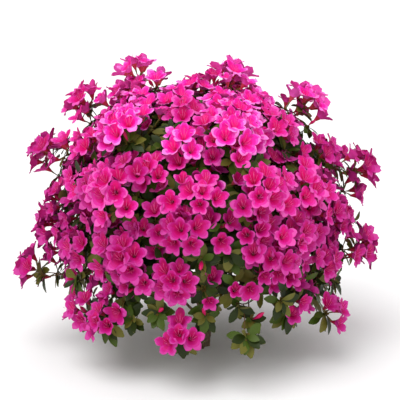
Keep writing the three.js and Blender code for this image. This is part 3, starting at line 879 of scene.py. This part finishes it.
def open_flowers():
    """For every flower: its spray, the foot of its funnel, and the way it looks."""
    counts = flower_count()
    spray = np.repeat(SPRAYS, counts)
    number = np.arange(len(spray)) - np.repeat(np.cumsum(counts) - counts, counts)
    central = (number == 0) & (counts[spray] != 2) & (counts[spray] != 3)
    in_ring = np.maximum(1, counts[spray] - (counts[spray] > 3))
    around = 2 * np.pi * (number / in_ring + chance(spray, 5))
    tight = (KINDS[spray] == "shoot") & (MOUTHS[spray, 2] > LOW_SHOOT_HEIGHT)
    full = np.where(counts[spray] > 2, FULL_LEAN, PAIR_LEAN)
    lean = np.where(tight, TIGHT_LEAN, full) + MORE_LEAN * chance(spray, 11)
    lean = np.radians(np.where(central, CENTRAL_LEAN, lean))
    facing = FACINGS[spray]
    look = leaned(facing, lean, around)
    spread = np.radians(np.where(central, 0, np.where(tight, TIGHT_SPREAD, STALK_SPREAD)))
    aside = leaned(facing, lean + spread, around)
    stalk = np.where(central, 0.016, 0.013 + 0.008 * chance(np.arange(len(spray)), 12))
    foot = FEET[spray] + stalk[:, None] * aside
    room = np.where(spray[:, None] == spray[None], ELBOW_ROOM, ROOM_BETWEEN)
    for _ in range(SPREADING_ROUNDS):
        mouth = foot + TUBE * look
        apart = mouth[:, None] - mouth[None]
        gap = np.linalg.norm(apart, axis=-1) + np.eye(len(mouth))
        push = np.clip(room - gap, 0, None) * (1 - np.eye(len(mouth)))
        mouth = mouth + PUSH * (apart / gap[..., None] * push[..., None]).sum(1)
        look = unit(unit(mouth - foot) + STRAIGHTENING * facing)
    return spray, foot, look


FLOWER_SPRAY, FLOWER_FOOT, FLOWER_LOOK = open_flowers()
FLOWERS = np.arange(len(FLOWER_SPRAY))
HIGH_SHOOT = (KINDS == "shoot") & (MOUTHS[:, 2] > LOW_SHOOT_HEIGHT)
FLOWER_SIZE = 0.74 + 0.20 * np.sqrt(chance(FLOWERS, 61)) + 0.10 * HIGH_SHOOT[FLOWER_SPRAY]
FLOWER_RING = np.array(MASS_RINGS)[OWNER[FLOWER_SPRAY]]
outwards = unit(FLOWER_FOOT - CROWN_CENTRE)
upright = UP - 0.25 * outwards
upright = unit(upright - dot(upright, FLOWER_LOOK) * FLOWER_LOOK)
FLOWER_TURN = np.stack([np.cross(upright, FLOWER_LOOK), upright, FLOWER_LOOK], -1)
print(len(FLOWERS), "flowers in", (~LEAFY).sum(), "sprays, and", LEAFY.sum(), "leafy sprays")

# %% [markdown]
# ## The shape of a flower
#
# An azalea's corolla is a funnel that opens into five rounded lobes. Think of a trumpet turned
# on a lathe: its radius and depth follow one curve from foot to rim. Each lobe is a strip of
# that trumpet. Low down the five strips meet and make the tube. Further out each is narrower
# than its fifth of the trumpet, so notches open, and its end rounds off. Then the strip is
# bent out of the trumpet a little: edges that curl back, and a soft ruffle. Each lobe is a
# closed sheet of a few dozen faces.

# %% A lobe as a strip of a trumpet
LOBES = 5
SHARES = np.array([0, 0.3, 0.52, 0.68, 0.82, 0.93, 1.0])
TRUMPET_SHARE = np.array([0, 0.16, 0.36, 0.50, 0.66, 0.84, 1.0])
TRUMPET_RADIUS = np.array([1.3, 2.8, 6.8, 11.0, 16.2, 21.2, 24.8]) / 1000
TRUMPET_DEPTH = np.array([0, 8.0, 17.0, 21.5, 25.5, 28.4, 29.4]) / 1000
LOBE_SHARE = np.array([0.4, 0.62, 0.76, 0.88, 0.95, 1.0])
LOBE_HALF_WIDTH = np.array([10.4, 10.6, 10.5, 9.6, 8.4, 6.9]) / 1000
PETAL_COLUMNS = 5
PETAL_THICKNESS = 0.0005


def lobe_points(flowers, lobe):
    """For each flower, the grid of one lobe. Its rows go from foot to rim, its columns across."""
    item = 10 * flowers[:, None, None] + lobe
    row = SHARES[None, :, None]
    side = np.linspace(-1, 1, PETAL_COLUMNS)[None, None]
    free = smoothstep(row, 0.6, 1.0)
    along = row * (1 - 0.12 * side**2 * smoothstep(row, 0.45, 0.9))
    radius = np.interp(along, TRUMPET_SHARE, TRUMPET_RADIUS)
    depth = np.interp(along, TRUMPET_SHARE, TRUMPET_DEPTH)
    width = np.minimum(radius * np.pi / LOBES, np.interp(row, LOBE_SHARE, LOBE_HALF_WIDTH))
    turn = 2 * np.pi * lobe / LOBES + side * width / radius
    shut = smoothstep(chance(flowers, 62), 0.7, 1.0)[:, None, None]
    openness = 1 - 0.28 * shut * smoothstep(row, 0.3, 0.9) + 0.06 * free * (chance(item, 65) - 0.5)
    curl = (chance(item, 63) - 0.5) * 0.010
    ruffle = 0.0013 * np.sin(6.28 * chance(item, 64) + 4.5 * side + 2 * row)
    depth = depth * (1 + 0.1 * shut) + free * (curl + ruffle - 0.0014 * side**2)
    radius = radius * openness + 0 * depth
    grid = np.stack([radius * np.sin(turn), radius * np.cos(turn), depth + 0 * radius], -1)
    return sheet_points(grid, PETAL_THICKNESS)


def volume_of(points, faces):
    """The signed volume inside one closed shape: a sixth of the sum, over its triangles, of
    the triple product of the corners. It is positive where the faces point outwards."""
    triangles = np.concatenate([group[:, [0, i, i + 1]] for group in faces
                                for i in range(1, group.shape[1] - 1)])
    a, b, c = (points[triangles[:, i]] for i in range(3))
    return float((a * np.cross(b, c)).sum() / 6)


PETAL_FACES = sheet_faces(len(SHARES), PETAL_COLUMNS)
print("one lobe:", round(volume_of(lobe_points(FLOWERS[:1], 0)[0], PETAL_FACES) * 1e9, 1), "mm3,",
      sum(len(group) for group in PETAL_FACES), "faces")

# %% [markdown]
# ## The colours of a petal
#
# From the throat outwards a real petal goes from deep rose through magenta and hot pink to a
# pale pink rim, and its back is a softer pink. Here the tube and throat are painted a lighter
# rose than the inner zone: painted light that lifts the shade deep in the funnel. Each zone is
# a row of faces with a plain colour of its own. The upper lobe also bears the blotch that guides
# bees, which reaches further out than the throat does. Flowers of one spray share one of three
# tints, partly by chance and partly by height: the pale tint is painted light, most common at
# the top of the shrub, and the deep one is painted shade, most common near the ground.

# %% Petal zones and tints
ZONES = {
    # tube and throat: painted lighter than inner, painted light that lifts the shade in the funnel
    "tube": (228, 18, 122),
    "throat": (226, 8, 120),
    "inner": (211, 3, 118),
    "middle": (215, 16, 138),
    "outer": (219, 42, 157),
    "rim": (228, 86, 178),
    "back": (227, 64, 166),
    "foot": (186, 44, 70),
}
# Tints: pale is painted light, deep is painted shade; high sprays get pale, low ones deep, partly by
# chance
TINTS = {"pale": (1.22, 2.4, 1.54), "warm": (0.97, 0.92, 0.94), "deep": (0.72, 0.50, 0.68)}
PAINTED_LIGHT_BY_HEIGHT = smoothstep(MOUTHS[:, 2], 0.20, 0.56)
TINT_OF_SPRAY = np.floor(3 * np.clip(0.6 * chance(SPRAYS, 70) + 0.70 - 0.85 * PAINTED_LIGHT_BY_HEIGHT, 0, 0.99))
# painted light by lobe: the lower lobes, facing up to the light, paler; the upper one deeper
LOBE_PAINTED_LIGHT = [-0.9, 0.0, 0.7, 0.7, 0.0]


def tinted(colour, tint):
    """The colour's linear red, green and blue, each times the tint's share."""
    shifted = np.minimum(np.array(linear(*colour)[:3]) * TINTS[tint], 0.98)
    return tuple(shifted) + (1.0,)


petal_finishes = [
    living_finish(f"petal_{zone}_{tint}", tinted(colour, tint), veins=(3.2, 0.7),
                  gloss=(0.5, 0.66), bump=0.1)
    for tint in TINTS for zone, colour in ZONES.items()
]


def petal_zones(flowers, lobe):
    """Zone numbers of one lobe's faces, for each flower. They grow with the way from the throat
    to the rim. The lower lobes are painted paler and the upper one deeper: painted light and
    painted shade, as the lower lobes face up to the light. The upper lobe's blotch, its own
    colour, takes more off along its middle, and every lobe differs a little by chance."""
    row = ((SHARES[1:] + SHARES[:-1]) / 2)[None, :, None]
    side = (np.arange(PETAL_COLUMNS - 1) - PETAL_COLUMNS / 2 + 1)[None, None] / (PETAL_COLUMNS / 2 - 1)
    towards_upper = {1: -side, LOBES - 1: side}.get(lobe, 0 * side)
    blotch = 1.4 * (1 - abs(side)) if lobe == 0 else 0.5 * towards_upper
    own = 1.5 * chance(10 * flowers + lobe, 66)[:, None, None] - 0.75
    level = 1.5 + 4.4 * (row - 0.3) / 0.7 + LOBE_PAINTED_LIGHT[lobe] - blotch + own + 0.4 * abs(side)
    zones = np.where(row < SHARES[1], 0, np.clip(np.floor(level), 1, 5)).astype(int)
    fronts = np.broadcast_to(zones, (len(flowers), len(SHARES) - 1, PETAL_COLUMNS - 1))
    names = list(ZONES)
    backs = np.where(row < SHARES[1], names.index("foot"), names.index("back"))
    backs = np.broadcast_to(backs, fronts.shape)
    return fronts.reshape(len(flowers), -1), backs.reshape(len(flowers), -1)


def petal_parts(ring):
    """The five lobes of all flowers in a ring of masses."""
    flowers = FLOWERS[FLOWER_RING == ring]
    tint = TINT_OF_SPRAY[FLOWER_SPRAY[flowers]].astype(int)[:, None] * len(ZONES)
    row = np.repeat(SHARES, PETAL_COLUMNS)
    side = np.tile(np.linspace(0, 1, PETAL_COLUMNS), len(SHARES))
    inner = np.s_[1:-1]
    grid = np.stack([side, row], -1)
    lower = grid.reshape(len(SHARES), PETAL_COLUMNS, 2)[inner, inner].reshape(-1, 2)
    pattern = np.concatenate([grid, lower])
    parts = []
    for lobe in range(LOBES):
        points = standing(lobe_points(flowers, lobe), FLOWER_TURN[flowers],
                          FLOWER_FOOT[flowers], FLOWER_SIZE[flowers])
        front, back = petal_zones(flowers, lobe)
        parts.append(part(points, PETAL_FACES, [tint + front, tint + back], pattern))
    return parts


add_ring_pieces("blossom", petal_parts, petal_finishes)

# %% [markdown]
# ## Stamens
#
# Five fine stamens and a longer style stand out of each throat. They leave the tube close
# together, dip, then curve up towards the tip, and end in rose-brown anthers.

# %% Stamens with their anthers
STAMENS = 6
STAMEN_RINGS = 4
STAMEN_RADIUS = 0.00030
ANTHER_LENGTH = 0.0016


def stamen_parts(ring):
    """Filaments as three-sided tubes: their offset from the axis grows with the square of the
    share of the way, plus a lift towards the upper lobe. Anthers are stretched octahedra."""
    flowers = FLOWERS[FLOWER_RING == ring]
    item = np.repeat(flowers, STAMENS)
    number = np.tile(np.arange(STAMENS), len(flowers))
    share = np.linspace(0, 1, STAMEN_RINGS)[None]
    around = (2 * np.pi * (number / (STAMENS - 1) + 0.1 * chance(item, 81)))[:, None]
    length = np.where(number == STAMENS - 1, 0.030, 0.019 + 0.006 * chance(10 * item + number, 82))
    offset = 0.0012 + 0.0065 * share**2 * (number < STAMENS - 1)[:, None]
    lift = 0.010 * share**2.4 - 0.004 * share
    paths = np.stack([offset * np.cos(around), offset * np.sin(around) + lift,
                      0.006 + length[:, None] * share], -1)
    radii = np.broadcast_to(STAMEN_RADIUS * (1.2 - 0.4 * share)[..., None], paths.shape[:2] + (1,))
    turns, feet = FLOWER_TURN[item], FLOWER_FOOT[item]
    filaments = standing(tube_points(paths, radii, 3), turns, feet, FLOWER_SIZE[item])
    tips = paths[:, -1]
    corners = np.array([[1, 0, 0], [0, 1, 0], [-1, 0, 0], [0, -1, 0], [0, 0, 1], [0, 0, -1]])
    shape = corners * [0.45 * ANTHER_LENGTH, 0.4 * ANTHER_LENGTH, 0.6 * ANTHER_LENGTH]
    anthers = standing(tips[:, None] + shape[None], turns, feet, FLOWER_SIZE[item])
    around_faces = [(i, (i + 1) % 4, 4) for i in range(4)] + [((i + 1) % 4, i, 5) for i in range(4)]
    return [part(filaments, tube_faces(STAMEN_RINGS, 3), [0, 0]),
            part(anthers, [np.array(around_faces)], [1])]


stamen_finishes = [
    living_finish("filament", linear(234, 104, 170), veins=(2.0, 0.1), gloss=(0.35, 0.5)),
    living_finish("anther", linear(172, 78, 108), veins=(2.0, 0.1), gloss=(0.5, 0.8), bump=0.4),
]
add_ring_pieces("stamens", stamen_parts, stamen_finishes)

# %% [markdown]
# ## Leaves
#
# Azalea leaves are small ellipses, gathered in a ring below the flowers. Each is folded a
# little along its midrib and droops towards its tip. The upper side is a dark glossy green and
# the underside a paler olive. The leaf's own shape is in its mesh, with no cut-out image.

# %% The shape of a leaf
LEAF_ROWS = 6
LEAF_THICKNESS = 0.0004


def leaf_points(length, width, droop, fold):
    """Grids of leaves: y along, x across, z to the upper side. Half the width follows a sine of
    the share of the length, drawn a little towards the tip."""
    share = np.linspace(0.02, 1, LEAF_ROWS)[None, :, None]
    side = np.array([-1, 0, 1])[None, None]
    outline = np.sin(np.pi * np.clip(share, 0.02, 0.975) ** 1.35) ** 0.7
    half = 0.5 * width[:, None, None] * outline
    x = side * half
    y = length[:, None, None] * share
    z = np.abs(side) * half * fold[:, None, None] - droop[:, None, None] * y * share
    return sheet_points(np.stack(np.broadcast_arrays(x, y, z), -1), LEAF_THICKNESS)


LEAF_FACES = sheet_faces(LEAF_ROWS, 3)
one = [np.array([value]) for value in (0.034, 0.013, 0.1, 0.2)]
print("one leaf:", round(volume_of(leaf_points(*one)[0], LEAF_FACES) * 1e9, 2), "mm3,",
      sum(len(group) for group in LEAF_FACES), "faces")

# %% [markdown]
# ## Where the leaves are
#
# Every shoot has a ring of leaves below its tip, and leafy shoots have young steep leaves round
# their bud too. Under flowers the leaves spread wide, low down they hang a little, and every
# leaf turns its upper side the way its shoot faces. A leaf whose middle line would run through
# a flower's funnel is left out. That is a quick test of four points, so the edges of some leaves
# still cut a petal.

# %% Rings of leaves
LEAVES_OF_LEAFY = 10
LEAVES_UNDER_BLOOM = 8
LEAVES_INSIDE = 6
MORE_LEAVES_LOW = 2
GOLDEN_ANGLE = 2.39996
FULL_TURN = 6.283
# Shortest leaves: young ones, grown ones, and what is added by chance and near the ground.
YOUNG_LENGTH, GROWN_LENGTH, MORE_LENGTH, LOW_LENGTH = 0.021, 0.026, 0.010, 0.006


def leaf_rings():
    """For every leaf: the shoot it grows on, and the numbers that its stance comes from."""
    tips = np.concatenate([FEET, INNER_TIPS])
    facings = np.concatenate([FACINGS, INNER_FACINGS])
    owner = np.concatenate([OWNER, INNER_OWNER])
    leafy = np.concatenate([LEAFY, np.ones(len(INNER_TIPS), bool)])
    blooming = np.arange(len(tips)) < len(FEET)
    low = tips[:, 2] < LOW_SHOOT_HEIGHT
    under_bloom = np.where(blooming, LEAVES_UNDER_BLOOM, LEAVES_INSIDE)
    counts = np.where(leafy & blooming, LEAVES_OF_LEAFY, under_bloom) + MORE_LEAVES_LOW * low
    shoot = np.repeat(np.arange(len(tips)), counts)
    number = np.arange(len(shoot)) - np.repeat(np.cumsum(counts) - counts, counts)
    return tips, facings, owner, leafy & blooming, shoot, number


LEAF_TIPS, LEAF_FACINGS, LEAF_OWNER, LEAF_LEAFY, LEAF_SHOOT, LEAF_NUMBER = leaf_rings()
LEAF_RING = np.array(MASS_RINGS)[LEAF_OWNER[LEAF_SHOOT]]


def leaf_stance(leaves):
    """Each leaf's foot, the way it points, the way its upper side looks, and its length.
    Successive leaves stand the golden angle apart. The last of a leafy shoot are its youngest,
    and stand up more steeply round its bud. Those below flowers spread wide of them."""
    shoot, number = LEAF_SHOOT[leaves], LEAF_NUMBER[leaves]
    facing = LEAF_FACINGS[shoot]
    young = LEAF_LEAFY[shoot] & (number > 5)
    length = np.where(young, YOUNG_LENGTH, GROWN_LENGTH) + MORE_LENGTH * chance(leaves, 91)
    length += LOW_LENGTH * (LEAF_TIPS[shoot][:, 2] < 0.12)
    below_flowers = (shoot < len(FEET)) & ~LEAF_LEAFY[shoot]
    steepest = np.where(young, 26, np.where(below_flowers, 72, 40))
    lean = np.radians(steepest + np.where(below_flowers, 34, 58) * chance(leaves, 93))
    around = GOLDEN_ANGLE * number + FULL_TURN * chance(shoot, 94)
    low = smoothstep(0.20 - LEAF_TIPS[shoot][:, 2], 0, 0.08)[:, None]
    along = unit(leaned(facing, lean, around) - 0.5 * low * UP)
    tilt = leaned(facing, np.radians(22 * chance(leaves, 95)), FULL_TURN * chance(leaves, 96))
    back = np.where(young, 0.0, 0.010 * chance(leaves, 97) - 0.003)[:, None]
    return LEAF_TIPS[shoot] - back * facing, along, tilt, length


def clear_of_flowers(leaves):
    """True for a leaf with no point inside any flower's funnel, at four places along it."""
    foot, along, _, length = leaf_stance(leaves)
    clear = np.ones(len(leaves), bool)
    for share in (0.35, 0.55, 0.75, 0.95):
        points = foot + (share * length)[:, None] * along
        for i, flower_foot in enumerate(FLOWER_FOOT):
            offset = (points - flower_foot) / FLOWER_SIZE[i]
            depth = offset @ FLOWER_LOOK[i]
            radius = np.linalg.norm(offset - depth[:, None] * FLOWER_LOOK[i], axis=1)
            wall = np.interp(depth, TRUMPET_DEPTH, TRUMPET_RADIUS, left=0, right=0)
            clear &= radius > wall
    return clear


LEAVES = np.arange(len(LEAF_SHOOT))
LEAVES = LEAVES[clear_of_flowers(LEAVES)]
print(len(LEAVES), "of", len(LEAF_SHOOT), "leaves keep their middle line out of the funnels")


def leaf_parts(ring):
    """The leaves in a ring of masses, each with one of three greens and a paler underside."""
    leaves = LEAVES[LEAF_RING[LEAVES] == ring]
    foot, along, tilt, length = leaf_stance(leaves)
    width = length * (0.44 + 0.10 * chance(leaves, 92))
    points = leaf_points(length, width, 0.05 + 0.22 * chance(leaves, 98),
                         0.12 + 0.2 * chance(leaves, 99))
    tone = np.floor(3 * chance(leaves, 90)).astype(int)[:, None]
    upper, under = LEAF_FACES
    pattern = np.tile([0.5, 0.5], (points.shape[1], 1))
    stood = standing(points, frames_for(along, tilt), foot)
    return [part(stood, [upper, under], [tone, 3], pattern)]


leaf_finishes = [
    living_finish("leaf_dark", linear(36, 48, 12), veins=(4.0, 0.4), gloss=(0.3, 0.5), bump=0.25),
    living_finish("leaf_green", linear(64, 83, 22), veins=(4.0, 0.4), gloss=(0.3, 0.5), bump=0.25),
    living_finish("leaf_olive", linear(100, 98, 38), veins=(4.0, 0.4), gloss=(0.32, 0.55), bump=0.25),
    living_finish("leaf_underside", linear(124, 122, 70), veins=(4.0, 0.5), gloss=(0.55, 0.75)),
]
add_ring_pieces("leaves", leaf_parts, leaf_finishes)

# %% [markdown]
# ## Buds, pedicels and bud scales
#
# Where a flower's funnel narrows it sits on a short olive stalk, the pedicel, and the brown
# scales of the winter bud still stand round the foot of the spray. Some shoots hold a furled
# bud: a slim spindle with a twist in it.

# %% Stalks, scales and furled buds
PEDICEL_RADII = np.array([0.0009, 0.0010, 0.0014, 0.0021])
SCALES = 5
BUD_RINGS = 8
BUD_SIDES = 7
BUD_LENGTH = 0.023
BUD_RADIUS = 0.0034


def pedicel_part(flowers):
    """A tube from the spray's foot that widens into the flower's funnel."""
    spray, look = FLOWER_SPRAY[flowers], FLOWER_LOOK[flowers]
    start, end = FEET[spray], FLOWER_FOOT[flowers] + 0.003 * look
    bend = start + 0.6 * (end - start) - 0.002 * (look - FACINGS[spray])
    paths = smooth_paths(np.stack([start, bend, end], 1), np.linspace(0, 1, 4))
    radii = np.tile(PEDICEL_RADII[None, :, None], (len(flowers), 1, 1))
    return part(tube_points(paths, radii, 5), tube_faces(4, 5), [0, 0])


def scale_part(sprays):
    """Small leaf-shaped scales, leaning a little outwards from the foot of the spray."""
    spray = np.repeat(sprays, SCALES)
    number = np.tile(np.arange(SCALES), len(sprays))
    item = SCALES * spray + number
    length = 0.008 + 0.003 * chance(item, 101)
    along = leaned(FACINGS[spray], np.radians(24 + 20 * chance(item, 102)), 1.2566 * number)
    points = leaf_points(length, 0.6 * length, 0.2 + 0 * length, 0.35 + 0 * length)
    foot = FEET[spray] - 0.003 * FACINGS[spray]
    return part(standing(points, frames_for(along, FACINGS[spray]), foot), LEAF_FACES, [1, 1])


def bud_part(sprays):
    """Spindles: the radius is a sine of the share of the length, with three furrows that turn
    as they rise."""
    share = np.linspace(0.03, 0.985, BUD_RINGS)[None, :, None]
    around = 2 * np.pi * np.arange(BUD_SIDES)[None, None] / BUD_SIDES
    swell = np.sin(np.pi * share**1.25) ** 0.9
    radius = BUD_RADIUS * swell * (1 + 0.16 * np.sin(3 * around + 5 * share))
    size = 0.75 + 0.5 * chance(sprays, 111)
    shape = np.stack(np.broadcast_arrays(radius * np.cos(around), BUD_LENGTH * share,
                                         -radius * np.sin(around)), -1)
    lean = np.radians(18 + 30 * chance(sprays, 112))
    along = leaned(FACINGS[sprays], lean, FULL_TURN * chance(sprays, 113))
    turns = frames_for(along, np.roll(FACINGS[sprays], 1, axis=1))
    points = np.repeat(shape.reshape(1, -1, 3), len(sprays), 0)
    foot = FEET[sprays] + 0.004 * FACINGS[sprays]
    return part(standing(points, turns, foot, size), tube_faces(BUD_RINGS, BUD_SIDES), [2, 2])


bud_finishes = [
    living_finish("pedicel", linear(112, 96, 44), veins=(2.0, 0.2), gloss=(0.5, 0.7)),
    living_finish("bud_scale", linear(104, 84, 36), veins=(4.0, 0.5), gloss=(0.45, 0.7)),
    living_finish("bud", linear(206, 22, 96), veins=(5.0, 0.8), gloss=(0.35, 0.5), bump=0.3),
]
BUDDING = chance(SPRAYS, 110) < np.where(LEAFY, 0.5, 0.2)


def bud_parts(ring):
    """The stalks of the open flowers, and the scales and furled buds of the sprays."""
    sprays = SPRAYS[np.array(MASS_RINGS)[OWNER] == ring]
    return [pedicel_part(FLOWERS[FLOWER_RING == ring]), scale_part(sprays),
            bud_part(sprays[BUDDING[sprays]])]


add_ring_pieces("buds", bud_parts, bud_finishes)

# %% [markdown]
# ## Floor, light and camera
#
# The shrub stands on a plain pale floor in a pale room. A broad soft sun high in front, a
# little to the left, models the dome from above, and a weaker one on the right opens the
# shadows. A long lens from a little above the crown's middle keeps the dome round.

# %% Stage, lamps and camera
def floor_piece():
    """A flat square, large enough that its edge is out of sight."""
    half = 40.0
    mesh = bpy.data.meshes.new("floor")
    mesh.from_pydata([(-half, -half, 0), (half, -half, 0), (half, half, 0), (-half, half, 0)],
                     [], [(0, 1, 2, 3)])
    material = new_finish("floor", {"Base Color": linear(250, 250, 250), "Roughness": 0.9})[0]
    mesh.materials.append(material)
    floor = bpy.data.objects.new("floor", mesh)
    bpy.context.scene.collection.objects.link(floor)


def aimed(thing, place, target):
    """Sets an object at a place, turned so that it looks at the target."""
    thing.location = place
    thing.rotation_euler = (Vector(target) - Vector(place)).to_track_quat("-Z", "Y").to_euler()
    bpy.context.scene.collection.objects.link(thing)


def add_sun(name, place, power, softness):
    """A lamp so far away that it lights floor and shrub alike. Softness is its width, in degrees."""
    lamp = bpy.data.lights.new(name, "SUN")
    lamp.energy = power
    lamp.angle = np.radians(softness)
    aimed(bpy.data.objects.new(name, lamp), place, CROWN_CENTRE)


ROOM_LIGHT = 0.70  # the walls light the shrub a little less brightly than they look
floor_piece()
world = bpy.data.worlds.new("room")
bpy.context.scene.world = world
world.use_nodes = True
room_light = world.node_tree.nodes["Background"]
room_light.inputs["Color"].default_value = (1, 1, 1, 1)
seen = world.node_tree.nodes.new("ShaderNodeLightPath")
brightness = world.node_tree.nodes.new("ShaderNodeMapRange")
brightness.inputs["To Min"].default_value = ROOM_LIGHT
brightness.inputs["To Max"].default_value = 1.0
world.node_tree.links.new(seen.outputs["Is Camera Ray"], brightness.inputs["Value"])
world.node_tree.links.new(brightness.outputs["Result"], room_light.inputs["Strength"])
add_sun("key", (-0.7, -1.1, 2.3), 2.0, 45)
add_sun("fill", (1.6, -1.6, 1.0), 0.4, 60)
bpy.context.scene.view_settings.view_transform = "Standard"

CAMERA_DISTANCE = 2.2
CAMERA_ELEVATION = np.radians(14)
CAMERA_TARGET = np.array([0.002, 0, 0.2936])
VIEW_WIDTH = 0.76  # metres, at the target
SENSOR_WIDTH = 36  # millimetres
camera = bpy.data.cameras.new("camera")
camera.sensor_width = SENSOR_WIDTH
camera.lens = SENSOR_WIDTH * CAMERA_DISTANCE / VIEW_WIDTH
behind = np.array([0, -np.cos(CAMERA_ELEVATION), np.sin(CAMERA_ELEVATION)])
camera_object = bpy.data.objects.new("camera", camera)
aimed(camera_object, tuple(CAMERA_TARGET + CAMERA_DISTANCE * behind), tuple(CAMERA_TARGET))
bpy.context.scene.camera = camera_object
